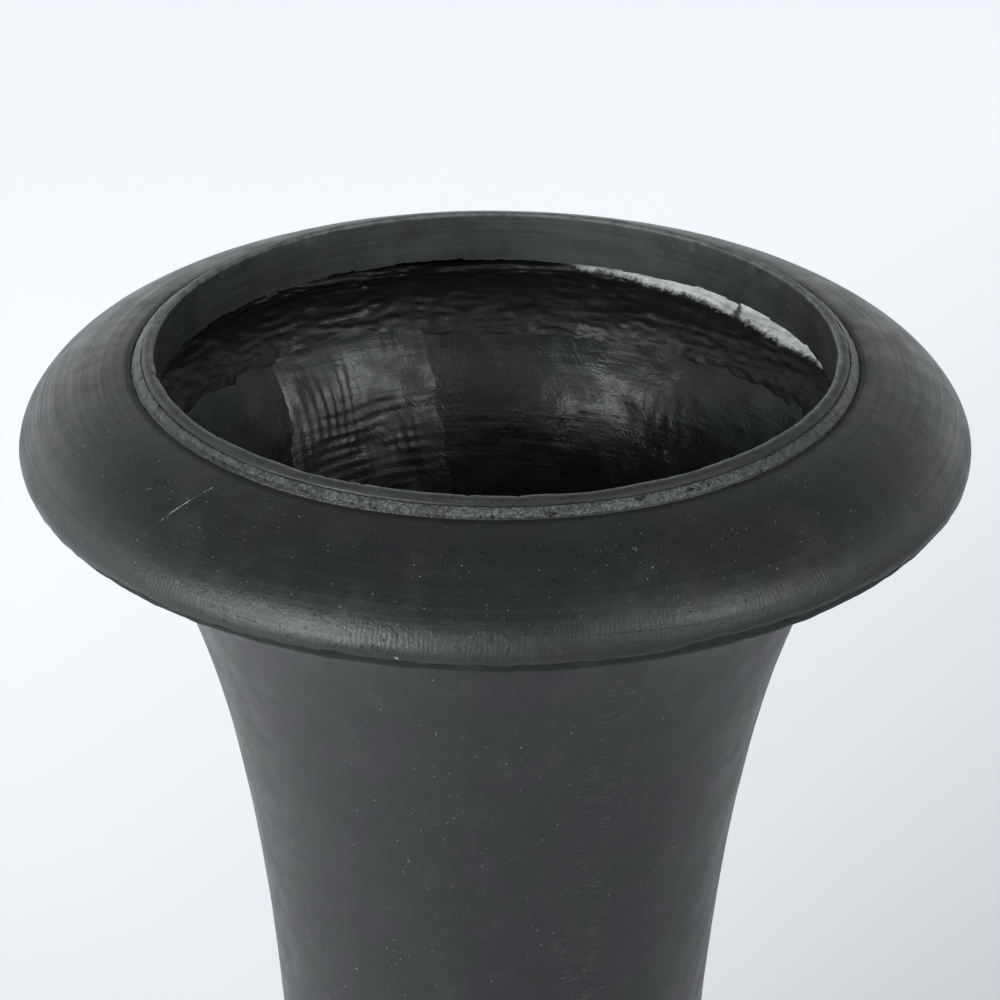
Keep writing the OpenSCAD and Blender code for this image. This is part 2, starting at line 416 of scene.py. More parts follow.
def satin_black(finish, marks=1.0, lines=1.0):
    """Brushed satin black over fibre clay: patchy tint and gloss, hair lines that run round, dust nibs,
    pinholes painted near black as shade in them, and pale scratches. Gives the colour and the roughness."""
    tint = finish.ease(finish.grain(17.0, 4.0, 0.65), 0.42, 0.60)
    colour = finish.mix(tint, black_green, black_violet)
    cloud = finish.grain(55.0, 4.0, 0.65)
    colour = finish.mix(finish.ease(cloud, 0.45, 0.80, 0.0, 0.6), colour, thin_black)
    lines_place = finish.vector(finish.times(finish.x, 7.0), finish.times(finish.y, 7.0),
                                finish.times(finish.along(), 620.0))
    round_lines = finish.noise(lines_place, 1.0, 3.0, 0.6)
    roughness = finish.ease(cloud, 0.30, 0.75, 0.34, 0.47)
    roughness = finish.plus(roughness, finish.ease(round_lines, 0.3, 0.7, -0.05 * lines, 0.07 * lines))
    finish.raised(round_lines, 0.000028 * lines)
    finish.raised(finish.grain(420.0, 3.0, 0.6), 0.000035)
    finish.raised(finish.grain(90.0), 0.00022)
    nibs = finish.most(finish.spots(520.0, 0.26, 0.22), finish.spots(190.0, 0.10, 0.11))
    pinholes = finish.spots(130.0, 0.12, 0.15)
    hairs = finish.scratches((0.25, 0.2, 0.0), 0.05, 0.013)
    for turn, share, long in (((1.1, 0.5, 0.4), 0.05, 0.016), ((1.35, -0.7, 1.9), 0.05, 0.012),
                              ((1.5, 0.2, 0.9), 0.20, 0.005), ((0.6, 0.9, 2.4), 0.20, 0.004),
                              ((1.4, -0.3, 2.9), 0.16, 0.0028)):
        hairs = finish.most(hairs, finish.scratches(turn, share, long))
    faint = finish.ease(finish.grain(75.0, 4.0, 0.75), 0.42, 0.66, 0.18, 1.0)
    pale = finish.times(finish.most(nibs, hairs), finish.times(faint, 0.8 * marks))
    colour = finish.mix(pale, colour, chalk_fleck)
    speckle = finish.ease(finish.grain(1300.0, 2.0, 0.6), 0.56, 0.74, 0.0, 0.5 * marks)
    colour = finish.mix(finish.times(speckle, faint), colour, (0.045, 0.049, 0.045))
    # Pinholes painted near black: painted shade in the pits.
    colour = finish.mix(finish.times(pinholes, 0.8), colour, (0.003, 0.003, 0.003))
    roughness = finish.plus(roughness, finish.times(pale, 0.4))
    finish.raised(pinholes, -0.0004)
    finish.raised(nibs, 0.00006)
    return colour, roughness


def dressed_seam(finish, colour, roughness):
    """The band two fingers wide along each seam that was rubbed down level, with short marks across it."""
    across = finish.plus(finish.times(finish.x, -math.sin(seam_turn)),
                         finish.times(finish.y, math.cos(seam_turn)))
    wander = finish.times(finish.grain(60.0, 3.0), 0.006)
    away = finish.plus(finish.math("ABSOLUTE", across), wander)
    band = finish.ease(away, 0.0150, 0.0115)
    tilted = finish.plus(finish.z, finish.times(across, -0.10))
    bent = finish.plus(tilted, finish.times(finish.grain(120.0), 0.0022))
    strokes = finish.vector(finish.times(across, 130.0), 0.0, finish.times(bent, 850.0))
    marks = finish.noise(strokes, 1.0, 2.0, 0.6)
    patchy = finish.times(band, finish.ease(finish.grain(45.0), 0.30, 0.5, 0.45, 1.0))
    finish.raised(finish.times(marks, patchy), 0.00034)
    lines = finish.times(finish.ease(marks, 0.52, 0.68), patchy)
    colour = finish.mix(finish.times(lines, 0.4), colour, (0.050, 0.054, 0.050))
    return colour, finish.plus(roughness, finish.times(patchy, 0.08))


def skin_push(place, _):
    """The slow hand-made unevenness of the outside, the same for every piece that meets in it."""
    return 0.00030 * lumps(place, 0.055) + 0.00007 * lumps(place, 0.012)


body = Finish("body_black")
body_colour, body_roughness = dressed_seam(body, *satin_black(body, lines=0.12))
body_black = body.finished(body_colour, body_roughness)


def half_outline():
    """Outside up to the flange, round the flange, inside down to the foot flange and back."""
    outside = skin_run(0, neck_z, shell_row, 0)
    inside = skin_run(foot_t, flange_z - 0.003, 4 * shell_row, shell_wall)
    inside_r = inside[-1][0] + 0.002
    foot_in = foot_r - foot_flange_w
    return outside + [(flange_r, neck_z), (flange_r, flange_z), (inside_r, flange_z)] + inside[::-1] + [
        (foot_in, foot_t), (foot_in, 0)]


def shell_half(name, start):
    """Half of the body: spun from its seam, with edge loops at the sides of the filler's groove."""
    bm = spun(half_outline(), half_steps, start, math.pi)
    outside_length = run_length(skin_run(0, neck_z, shell_row, 0))
    along = bm.verts.layers.float["along"]
    groove_sides = {1: groove_half - 0.0002, 2: groove_half}
    for v in bm.verts:
        r = math.hypot(v.co.x, v.co.y)
        angle = (math.atan2(v.co.y, v.co.x) - start + 1e-6) % math.tau
        column = round(angle / math.pi * half_steps)
        from_edge = min(column, half_steps - column)
        if from_edge in groove_sides:
            angle = math.asin(groove_sides[from_edge] / r)
            angle = angle if column == from_edge else math.pi - angle
            v.co = Vector((r * math.cos(start + angle), r * math.sin(start + angle), v.co.z))
        if from_edge <= 1 and v[along] < outside_length - 0.001:
            inward = Vector((v.co.x, v.co.y, 0)).normalized()
            v.co -= inward * groove_deep
    bmesh.ops.recalc_face_normals(bm, faces=bm.faces)
    pushed(bm, lambda place, way: skin_push(place, way) if way < outside_length else 0.0)
    return set_down(name, bm, body_black)


for side, seam in (("right", seam_turn), ("left", seam_turn + math.pi)):
    shell = shell_half(f"shell_{side}", seam)
    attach(shell, "pot")
    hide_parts(f"body_half_{side}")


# ---- Seam filler ----
# Polyester filler trowelled into the two outside seams and rubbed down, so that it feathers out over
# the shells on both sides. It is under the same black.
def across_seam(outline, width, columns, middle):
    """An outline spun a short way across one line up the wall, with the same width at every height."""
    nominal_r = 0.1
    bm = spun(outline, columns, middle - width / 2 / nominal_r, width / nominal_r)
    for v in bm.verts:
        r = math.hypot(v.co.x, v.co.y)
        angle = (math.atan2(v.co.y, v.co.x) - middle + math.pi) % math.tau - math.pi
        angle = middle + angle * nominal_r / r
        v.co = Vector((r * math.cos(angle), r * math.sin(angle), v.co.z))
    return bm


def off_seam(place, middle):
    """How far round the wall a place lies from a line up the wall, in metres."""
    angle = (math.atan2(place.y, place.x) - middle + math.pi) % math.tau - math.pi
    return angle * math.hypot(place.x, place.y)


def seam_filler(name, middle):
    """One strip: crowned by a hair, and as deep as the groove in its middle."""
    half = 0.009
    columns = 18
    outside = skin_run(0, neck_z, shell_row, 0)
    inside = skin_run(0, neck_z, shell_row, 0.0003)
    bm = across_seam(outside + inside[::-1], 2 * half, columns, middle)
    along = bm.verts.layers.float["along"]
    outside_length = run_length(outside) + 0.0001
    for v in bm.verts:
        off = off_seam(v.co, middle)
        out = Vector((v.co.x, v.co.y, 0)).normalized()
        reach = half * (0.85 + 0.15 * lumps(Vector((0, 0, v.co.z)), 0.02))
        stand = skin_push(v.co, 0)
        if v[along] < outside_length:
            stand += max(0.00006 * (1 - (off / reach) ** 2) - 0.00001, -0.0004)
        elif abs(off) < groove_half - 0.0003:
            stand -= groove_deep - 0.0004
        else:
            stand -= 0.0006
        v.co += out * stand
    return set_down(name, bm, body_black)


for side, seam in (("front", seam_turn), ("back", seam_turn + math.pi)):
    strip = seam_filler(f"seam_strip_{side}", seam)
    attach(strip, "pot")
    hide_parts(f"seam_filler_{side}")


# ---- Mat linings ----
# Chopped glass mat wetted out with resin inside each half. The roller left it in swirls and puddles,
# and the black inside is glossier than outside.
mat_t = 0.0015
base_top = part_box("base_disc")[1].z


def swirls(place):
    """Height of the mat's creases, flats and puddles: it is creased most to the right of the tape."""
    bend = noise.noise_vector(place / 0.026) * 0.016
    stretched = place + bend
    stretched.z *= 1.6
    crease = max(1 - abs(noise.noise(stretched / 0.014)) * 3.6, 0)
    ripple = math.sin(math.tau * (0.45 * place.z + 0.020 * noise.noise(stretched / 0.030)) / 0.0032)
    turn = math.atan2(place.y, place.x)
    creased = 0.25 + 0.75 * math.exp(-((turn - math.radians(66)) / 0.42) ** 2)
    rolled = 0.16 * ripple * (1 + lumps(place, 0.02)) - 0.34 * crease ** 1.5
    return 0.30 * lumps(place, 0.045) + 0.40 * lumps(place, 0.018) + creased * rolled


def inner_black(finish, gloss_low, gloss_high):
    """Sprayed black on resin-wet glass: patchy shine, strands just under the surface, a few dust nibs."""
    strands = finish.noise(finish.turned((0.9, 0.3, 0.2), (0.0016, 0.0016, 0.014)), 1.0, 2.0, 0.6)
    cross = finish.noise(finish.turned((-0.7, 0.4, 1.3), (0.0016, 0.0016, 0.014)), 1.0, 2.0, 0.6)
    finish.raised(finish.plus(strands, cross), 0.00012)
    level = finish.noise(finish.stretched(22.0, 22.0, 330.0), 1.0, 2.0)
    finish.raised(level, 0.00022)
    cloud = finish.grain(60.0, 4.0, 0.6)
    roughness = finish.ease(cloud, 0.35, 0.7, gloss_low, gloss_high)
    tint = finish.ease(finish.grain(22.0), 0.4, 0.6)
    colour = finish.mix(tint, (0.0130, 0.0130, 0.0140), (0.0120, 0.0150, 0.0145))
    nibs = finish.times(finish.spots(420.0, 0.22, 0.15), 0.35)
    return finish.mix(nibs, colour, (0.15, 0.15, 0.15)), roughness


wet_mat = Finish("mat_black")
mat_black = wet_mat.finished(*inner_black(wet_mat, 0.25, 0.45))


def mat_half(name, start):
    """The lining of one half, from the base up to the flange."""
    columns = 200
    mat_top = flange_z - 0.004
    face = skin_run(base_top, mat_top, 0.0024, shell_wall + mat_t)
    back = skin_run(base_top, mat_top, 0.03, shell_wall + 0.0002)
    face_length = run_length(face) + 0.0001
    bm = spun(face + back[::-1], columns, start, math.pi)

    def push(place, way):
        if way > face_length:
            return 0.0
        off_ends = min(abs(off_seam(place, start)), abs(off_seam(place, start + math.pi)))
        return 0.0009 * swirls(place) * min(off_ends / 0.006, 1.0)

    pushed(bm, push)
    return set_down(name, bm, mat_black, crease=70)


for side, seam in (("right", seam_turn), ("left", seam_turn + math.pi)):
    mat = mat_half(f"mat_{side}", seam)
    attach(mat, "pot")
    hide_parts(f"mat_lining_{side}")


# ---- Seam tapes ----
# Open-weave glass tape with a five-millimetre mesh, bedded in resin over the inside of each seam.
# Its cords stand out in a grid that bends where the tape was smoothed down.
tape_t = 0.0012
tape_w = 0.090
tape_turn = seam_turn + math.radians(7)
tape_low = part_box("seam_tape_back")[0].z
tape_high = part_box("seam_tape_back")[1].z
mesh_pitch = 0.005
cloth_depth = shell_wall + mat_t + tape_t

wet_weave = Finish("weave_black")
weave_colour, weave_roughness = inner_black(wet_weave, 0.30, 0.50)
weave_black = wet_weave.finished(weave_colour, weave_roughness)


def cord(distance):
    """Height of one cord of the mesh at a distance from a grid line, in pitches."""
    off = abs((distance + 0.5) % 1.0 - 0.5)
    return math.exp(-(off / 0.20) ** 2)


def mesh_relief(place, across, edge):
    """Height of the tape's mesh and of its slack folds."""
    bend = noise.noise_vector(place / 0.032)
    u = (across + 0.0034 * bend.x) / mesh_pitch
    w = (place.z + 0.0030 * bend.y + 0.05 * across) / mesh_pitch
    up_depth = max(0.40 + 1.2 * lumps(place, 0.030), 0.04)
    cross_depth = max(0.22 + 1.2 * lumps(place + Vector((0.3, 0, 0)), 0.024), 0.0)
    grid = up_depth * cord(u) + cross_depth * cord(w)
    folds = 0.8 * lumps(place, 0.017) + 0.6 * lumps(place, 0.05)
    return edge * (0.00052 * grid + 0.00080 * folds)


def seam_tape(name, middle):
    """One tape from the base's cloth up to the neck's, with its edges bedded down in the mat."""
    columns = 76
    low = tape_low - 0.004
    high = tape_high + 0.004
    face = skin_run(low, high, mesh_pitch / 4, cloth_depth)
    back = skin_run(low, high, 0.02, shell_wall + 0.0001)
    face_length = run_length(face) + 0.0001
    bm = across_seam(face + back[::-1], tape_w, columns, middle)

    def push(place, way):
        if way > face_length:
            return 0.0
        across = off_seam(place, middle)
        border = tape_w / 2 - abs(across) - 0.003 * (1 + lumps(place, 0.02))
        edge = min(max(border / 0.018, 0.0), 1.0)
        return mesh_relief(place, across, edge) - 0.0021 * (1 - edge) ** 2

    pushed(bm, push)
    return set_down(name, bm, weave_black, crease=70)


for side, middle in (("back", tape_turn + math.pi), ("front", tape_turn)):
    weave = seam_tape(f"weave_{side}", middle)
    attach(weave, "pot")
    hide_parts(f"seam_tape_{side}")


# ---- Neck cloth ----
# Strips of resin-soaked cloth wrapped over the joint of body and collar, in wrinkles that run round.
# On the right the spray gun missed their upper edge, so the bare pale laminate shows.
cloth_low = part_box("neck_tape")[0].z
ledge_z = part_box("neck_tape")[1].z - tape_t


def curve_through(a, b, c, d, count):
    """Points on a cubic curve from a to d that leans towards b and c."""
    points = []
    for i in range(count + 1):
        t = i / count
        shares = ((1 - t) ** 3, 3 * t * (1 - t) ** 2, 3 * t * t * (1 - t), t ** 3)
        points.append(tuple(sum(s * p[k] for s, p in zip(shares, (a, b, c, d))) for k in (0, 1)))
    return points


def overspray(finish):
    """How bare a spot is, from 0 for black to 1 for pale: most at the back right, high under the ring."""
    azimuth = finish.azimuth()
    climb = finish.plus(finish.z, finish.radius())
    edge = finish.ease(azimuth, math.radians(32), math.radians(84), 0.7692, 0.7880)
    edge = finish.plus(edge, finish.ease(azimuth, math.radians(22), math.radians(-5), 0.0, 0.05))
    edge = finish.plus(edge, finish.ease(azimuth, math.radians(76), math.radians(100), 0.0, 0.05))
    ragged = finish.times(finish.grain(300.0, 6.0, 0.85), 0.016)
    slow = finish.times(finish.grain(35.0), 0.006)
    over = finish.math("SUBTRACT", finish.plus(finish.plus(climb, ragged), slow), edge)
    # Thin dark slanting streaks cut across the bare pale zone.
    slant = finish.plus(azimuth, finish.times(finish.z, -8.0))
    dark_streaks = finish.math("PINGPONG", finish.plus(slant, finish.times(finish.grain(50.0), 0.10)), 0.33)
    return finish.times(finish.ease(over, 0.0078, 0.0128), finish.ease(dark_streaks, 0.004, 0.012, 0.15, 1.0))


def bared(finish, colour, roughness):
    """Lays the bare pale laminate over a sprayed finish where the spray missed it."""
    bare = overspray(finish)
    grime = finish.ease(finish.grain(130.0, 4.0, 0.7), 0.35, 0.7)
    pale = finish.mix(grime, (0.90, 0.93, 0.92), (0.60, 0.62, 0.62))
    return (finish.mix(bare, colour, pale), finish.plus(roughness, finish.times(bare, 0.3)))


wet_cloth = Finish("neck_cloth_black")
cloth_colour, cloth_roughness = inner_black(wet_cloth, 0.34, 0.56)
dust_grain = wet_cloth.grain(900.0, 2.0, 0.7)
cloth_dust = wet_cloth.ease(dust_grain, 0.55, 0.78, 0.0, 0.30)
cloth_colour = wet_cloth.mix(0.55, cloth_colour, (0.0070, 0.0052, 0.0075))
cloth_colour = wet_cloth.mix(cloth_dust, cloth_colour, (0.050, 0.043, 0.052))
cloth_black = wet_cloth.finished(*bared(wet_cloth, cloth_colour, cloth_roughness), gloss=0.36)

leave_z = 0.600
step_r = 0.1728
lap_r = 0.1820
cloth_face = skin_run(cloth_low, leave_z, 0.0008, cloth_depth)
cloth_face += curve_through(cloth_face[-1], (0.1690, 0.6085), (0.1715, 0.6080), (step_r, 0.6108), 12)[1:]
cloth_face += curve_through(cloth_face[-1], (0.1735, 0.6128), (0.1760, 0.6128), (lap_r, 0.6122), 10)[1:]
cloth_back = [(lap_r, 0.6108), (step_r + 0.0010, 0.6108), (step_r + 0.0010, 0.6058)]
cloth_back += skin_run(cloth_low, leave_z - 0.002, 0.006, shell_wall + 0.0008)[::-1]
cloth_length = run_length(cloth_face) + 0.0001


def wrinkles(place, way):
    """Folds that run round, crossed by a few puckers, and the steps where one strip laps over the next."""
    if way > cloth_length:
        return 0.0
    azimuth = math.atan2(place.y, place.x)
    round_way = Vector((math.cos(azimuth), math.sin(azimuth), 0)) * 5.2
    bend = lumps(round_way + Vector((0, 0, way / 0.012)), 1.0)
    fold = 1 - abs(noise.noise(round_way + Vector((0, 0, way / 0.0036 + 0.9 * bend)))) * 2
    fine = lumps(round_way * 6 + Vector((0, 0, way / 0.0015)), 1.0)
    laps = 0.0
    for number, edge in enumerate((0.011, 0.023, 0.034)):
        wander = 0.0050 * noise.noise(round_way * 2.5 + Vector((0, 0, 9.0 * number)))
        laps += min(max((edge + wander - way) / 0.0012, 0.0), 1.0)
    hem = min(way / 0.003, (cloth_length - way) / 0.004, 1.0)
    relief = 0.0007 * max(fold, 0) ** 3 + 0.00036 * fine + 0.00016 * laps + 0.0005 * lumps(place, 0.012)
    return hem * relief - 0.0021 * max(1 - way / 0.018, 0.0) ** 2


neck_bm = spun(cloth_face + cloth_back, 720)
for v in neck_bm.verts:
    drop = max(0.0, 1 - v[neck_bm.verts.layers.float["along"]] / 0.006)
    v.co.z -= 0.0050 * drop * (lumps(Vector((v.co.x, v.co.y, 0)), 0.022) + 0.2)
pushed(neck_bm, wrinkles)
neck_cloth = set_down("neck_cloth", neck_bm, cloth_black, crease=70)
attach(neck_cloth, "pot")
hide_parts("neck_tape")


# ---- Collar ----
# A hollow moulding with a domed top that rolls over at its widest line and tucks in to the body. The
# mould line on the roll was dressed by hand, which left fine marks across it, chips and a pitted edge.
collar_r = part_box("collar")[1].x
groove_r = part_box("lip_filler")[1].x
groove_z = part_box("collar")[1].z
nose_z = mouth_z - 0.0385
ledge_r = 0.174
land_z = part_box("lip_filler")[0].z
roll_w = 0.010
dome_rows = 78


def dome_run(from_r, to_r, low, high, count):
    """Quarter of a superellipse from the groove out to the widest line."""
    points = []
    for i in range(count + 1):
        t = (i / count) ** 0.8 * math.pi / 2
        points.append((from_r + (to_r - from_r) * math.sin(t) ** (2 / 1.69),
                       low + (high - low) * max(math.cos(t), 0.0) ** (2 / 1.69)))
    return points


collar_out = dome_run(groove_r, collar_r, nose_z, groove_z, dome_rows)
collar_out += [(collar_r - roll_w * (1 - math.cos(math.radians(a))), nose_z - (nose_z - neck_z) *
                math.sin(math.radians(a))) for a in range(6, 91, 6)]
skirt_r = flange_r + 0.004
collar_in = [(skirt_r, neck_z), (skirt_r, flange_z), (ledge_r, flange_z)]
collar_in += [(ledge_r + 0.004 * i, ledge_z) for i in range(6)]
collar_in += [(collar_r - shell_wall, ledge_z + 0.002)]
collar_in += dome_run(groove_r, collar_r - shell_wall, nose_z, land_z, 16)[::-1]
collar_out_length = run_length(collar_out) + 0.0001
nose_way = run_length(collar_out[:dome_rows + 1])
edge_way = nose_way + 0.0032


def collar_push(place, way):
    """Hand-made unevenness outside, and a nibbled tuck below the edge where the dressing stopped."""
    if way > collar_out_length:
        return 0.0
    push = 0.00020 * lumps(place, 0.06) + 0.00008 * lumps(place, 0.014)
    below = min(max((way - edge_way) / 0.0010, 0.0), 1.0)
    return push - below * (0.0005 + 0.0003 * lumps(place, 0.009, 3))


def mark(finish, degrees, way_at, long, wide, tilt):
    """Mask of one ragged mark on the roll: where it is, its half lengths, and how it is turned."""
    azimuth = finish.azimuth()
    across = finish.times(finish.math("SUBTRACT", azimuth, math.radians(degrees)), collar_r)
    up = finish.math("SUBTRACT", finish.along(), way_at)
    c, k = math.cos(math.radians(tilt)), math.sin(math.radians(tilt))
    u = finish.plus(finish.times(across, c / long), finish.times(up, k / long))
    w = finish.plus(finish.times(across, -k / wide), finish.times(up, c / wide))
    away = finish.math("SQRT", finish.plus(finish.math("POWER", u, 2.0), finish.math("POWER", w, 2.0)))
    away = finish.plus(away, finish.ease(finish.grain(800.0), 0.3, 0.7, -0.45, 0.45))
    return finish.ease(away, 1.0, 0.75)


def collar_finish():
    """Satin black with marks across the roll, spaced two millimetres, pits, cracks and one long scratch."""
    finish = Finish("collar_black")
    colour, roughness = satin_black(finish)
    way = finish.along()
    azimuth = finish.azimuth()
    waver = finish.times(finish.grain(130.0, 3.0), 11.0)
    teeth = finish.math("SINE", finish.plus(finish.times(azimuth, 640.0), waver))
    on_roll = finish.times(finish.ease(way, nose_way - 0.018, nose_way - 0.007),
                           finish.ease(way, edge_way + 0.001, edge_way - 0.001))
    patchy = finish.ease(finish.grain(26.0, 3.0), 0.40, 0.56)
    teeth = finish.times(teeth, finish.times(on_roll, patchy))
    finish.raised(teeth, 0.000024)
    finish.raised(finish.times(finish.grain(420.0, 4.0, 0.75), on_roll), 0.00028)
    craters = finish.times(finish.spots(230.0, 0.35, 0.20), on_roll)
    for degrees, offset, long, wide, tilt in (
            (-122.1, -0.0041, 0.0010, 0.0007, 0), (-120.6, -0.0045, 0.0012, 0.0006, 30),
            (-117.5, -0.0030, 0.0062, 0.00035, 3), (-112.2, -0.0005, 0.0012, 0.0008, 0),
            (-110.7, -0.0050, 0.0009, 0.0007, 0), (-109.2, -0.0112, 0.0034, 0.0005, -12),
            (-102.6, -0.0010, 0.0020, 0.0010, 20), (-100.9, -0.0006, 0.0014, 0.0013, 0),
            (-72.0, -0.0065, 0.0230, 0.00022, 2), (-52.0, 0.0010, 0.0016, 0.0008, 0)):
        craters = finish.most(craters, mark(finish, degrees, nose_way + offset, long, wide, tilt))
    finish.raised(craters, -0.0005)
    colour = finish.mix(finish.times(craters, 0.8), colour, shadow_black)
    edge_rub_and_sheen = mark(finish, -102.5, nose_way - 0.0002, 0.0055, 0.0020, 0)
    roughness = finish.plus(roughness, finish.times(edge_rub_and_sheen, 0.22))
    pale = finish.most(mark(finish, -133.0, 0.0240, 0.0150, 0.00030, -68.7),
                       mark(finish, -100.3, nose_way + 0.0024, 0.0011, 0.0007, 0))
    broken = finish.ease(finish.grain(450.0, 3.0), 0.42, 0.62, 0.05, 0.75)
    colour = finish.mix(finish.times(pale, broken), colour, (0.36, 0.37, 0.35))
    # Darker and duller next to the groove by the lip filler: painted shade in the groove.
    groove_shade = finish.ease(way, 0.0042, 0.0006)
    colour = finish.mix(groove_shade, colour, (0.0035, 0.0050, 0.0042))
    return finish.finished(colour, finish.plus(roughness, finish.times(groove_shade, 0.25)))


def tuck_finish(name):
    """The black under the roll and on the filler there: thin, dull and lumpy, with white chips, and darker
    than the paint above as painted shade under the roll.
    """
    finish = Finish(name)
    finish.raised(finish.grain(240.0, 4.0, 0.7), 0.0007)
    chips = finish.spots(140.0, 0.16, 0.20)
    finish.raised(chips, -0.0003)
    mould = finish.ease(finish.grain(80.0, 4.0, 0.65), 0.40, 0.70)
    colour = finish.mix(mould, (0.0045, 0.0070, 0.0048), (0.0110, 0.0150, 0.0110))
    return finish.finished(finish.mix(chips, colour, (0.55, 0.56, 0.54)), 0.62, gloss=0.22)


hollow = Finish("collar_inside")
collar_inside = hollow.finished(*bared(hollow, *inner_black(hollow, 0.4, 0.6)))

collar_bm = spun(collar_out + collar_in, 620)
collar_along = collar_bm.verts.layers.float["along"]
hidden_way = collar_out_length + 0.005
edge_way = min((v[collar_along] for v in collar_bm.verts), key=lambda way: abs(way - edge_way))
for face in collar_bm.faces:
    start = min(v[collar_along] for v in face.verts)
    if start > hidden_way:
        face.material_index = 1
    elif start > edge_way - 0.0001 and max(v[collar_along] for v in face.verts) < collar_out_length + 0.01:
        face.material_index = 2
for v in collar_bm.verts:
    near = math.exp(-((v[collar_along] - edge_way) / 0.0036) ** 2)
    if near > 0.01 and v[collar_along] < collar_out_length:
        level = Vector((v.co.x, v.co.y, 0))
        climb = 0.0022 * math.exp(-((math.atan2(v.co.y, v.co.x) - math.radians(-56)) / 0.30) ** 2)
        v.co.z += near * (climb + 0.0010 * lumps(level, 0.030) + 0.0007 * lumps(level, 0.0080))
pushed(collar_bm, collar_push)
collar = set_down("collar_skin", collar_bm, collar_finish(), collar_inside, tuck_finish("tuck_black"))
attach(collar, "pot")
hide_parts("collar")


# ---- Filler under the collar ----
# Filler pressed into the groove between the body's flange and the collar's skirt. It was wiped with a
# finger and dried in lumps. It has the darker black of the tuck under the roll: painted shade in the joint.
bead_in = flange_r - 0.0015
bead_out = flange_r + 0.0050
bead_outline = [(bead_in, flange_z), (bead_in + 0.002, flange_z - 0.004), (bead_in, neck_z)]
bead_outline += [(bead_in + (bead_out - bead_in) * i / 8,
                  neck_z - 0.0009 * math.sin(math.pi * i / 8)) for i in range(1, 9)]
bead_outline += [(bead_out - 0.001, flange_z)]
bead_bm = spun(bead_outline, 720)
pushed(bead_bm, lambda place, way: 0.0007 * lumps(place, 0.006, 3) if place.z < neck_z + 0.0005 else 0.0)
joint_bead = set_down("joint_bead", bead_bm, tuck_finish("bead_black"), crease=60)
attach(joint_bead, "pot")
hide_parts("collar_joint_filler")


# ---- Mouth ring ----
# The vertical band inside the mouth with a crowned lip on top, moulded by itself. Its lower edge is
# as ragged as it came from the mould, and its inner edge was rounded over by hand.
mouth_r = frame["record"]["mounts"][0]["dims"]["r_mm"] / 1000
ring_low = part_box("mouth_ring")[0].z
ring_r = mouth_r + 0.0055
lip_edge = 0.0012
lip_drop = 0.0018
ring_flange_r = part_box("mouth_ring")[1].x
ring_flange_t = 0.004


def ring_outline():
    """Up the inside of the band, over the lip, down behind it, round the hidden flange and back."""
    rows = 26
    points = [(mouth_r, ring_low + (mouth_z - lip_edge - ring_low) * i / rows) for i in range(rows)]
    points += [(mouth_r + lip_edge * (1 - math.cos(math.radians(a))),
                mouth_z - lip_edge * (1 - math.sin(math.radians(a)))) for a in range(0, 91, 15)]
    points += [(mouth_r + lip_edge + (0.0043 * i / 8), mouth_z - lip_drop * (i / 8) ** 2.2)
               for i in range(1, 9)]
    return points + [(ring_r, land_z), (ring_flange_r, land_z), (ring_flange_r, land_z - ring_flange_t),
                     (ring_r, land_z - ring_flange_t), (ring_r - 0.0005, ring_low + 0.001),
                     (ring_r - 0.0015, ring_low)]


def ring_push(place, _):
    """Waves and nicks round the inner edge of the lip, soft lumps on the band."""
    azimuth = math.atan2(place.y, place.x)
    at = Vector((math.cos(azimuth), math.sin(azimuth), 0)) * mouth_r
    top = min(max((place.z - (mouth_z - 0.006)) / 0.006, 0.0), 1.0)
    if math.hypot(place.x, place.y) > ring_r - 0.0008 and top < 0.4:
        return 0.0
    waves = 0.00034 * lumps(at, 0.013) + 0.00028 * lumps(at, 0.045)
    out = math.hypot(place.x, place.y) - mouth_r
    nicks = 0.0022 * max(lumps(at + Vector((0, 0, 0.5)), 0.0065) - 0.30, 0.0)
    nicks *= math.exp(-(out / 0.0016) ** 2)
    joint = 0.0005 * min(max((out - 0.0046) / 0.0007, 0.0), 1.0)
    return 0.00030 * lumps(place, 0.030) + top * (waves - nicks - joint)


band = Finish("ring_black")
ring_colour, ring_roughness = satin_black(band, 0.8)
# Lighter grey in patches and streaks, strong at the back of the band and faint at the front: partly dust,
# partly painted light on the side of the band that faces the lamps.
dust_and_painted_light = band.ease(band.grain(40.0, 4.0, 0.7), 0.30, 0.65, 0.45, 1.0)
dust_and_painted_light = band.times(dust_and_painted_light, band.ease(band.y, 0.010, 0.125, 0.12, 1.0))
streaks = band.noise(band.vector(band.times(band.x, 14.0), 0.0, band.times(band.z, 330.0)), 1.0, 3.0, 0.6)
dust_and_painted_light = band.times(dust_and_painted_light, band.ease(streaks, 0.35, 0.65, 0.70, 1.20))
ring_colour = band.mix(dust_and_painted_light, ring_colour, (0.038, 0.042, 0.041))
ring_roughness = band.plus(ring_roughness, 0.12)
# The lip's crown is lighter grey towards its inner edge: partly rubbed paint, partly a painted highlight
# along the rounded edge.
edge_rub_and_sheen = band.times(band.ease(band.z, mouth_z - 0.0022, mouth_z - 0.0006),
                    band.ease(band.grain(160.0, 4.0, 0.7), 0.35, 0.60, 0.3, 1.0))
edge_rub_and_sheen = band.times(edge_rub_and_sheen, band.ease(band.radius(), mouth_r + 0.0030, mouth_r + 0.0010, 0.12, 1.0))
ring_colour = band.mix(edge_rub_and_sheen, ring_colour, (0.110, 0.115, 0.113))
joint_gap = band.ease(band.radius(), ring_r - 0.0011, ring_r - 0.0005)
ring_colour = band.mix(joint_gap, ring_colour, shadow_black)
band.raised(band.grain(700.0, 3.0, 0.7), 0.00009)
pores = band.times(band.spots(260.0, 0.30, 0.20), band.ease(band.z, mouth_z - 0.004, mouth_z - 0.001))
band.raised(pores, -0.0005)
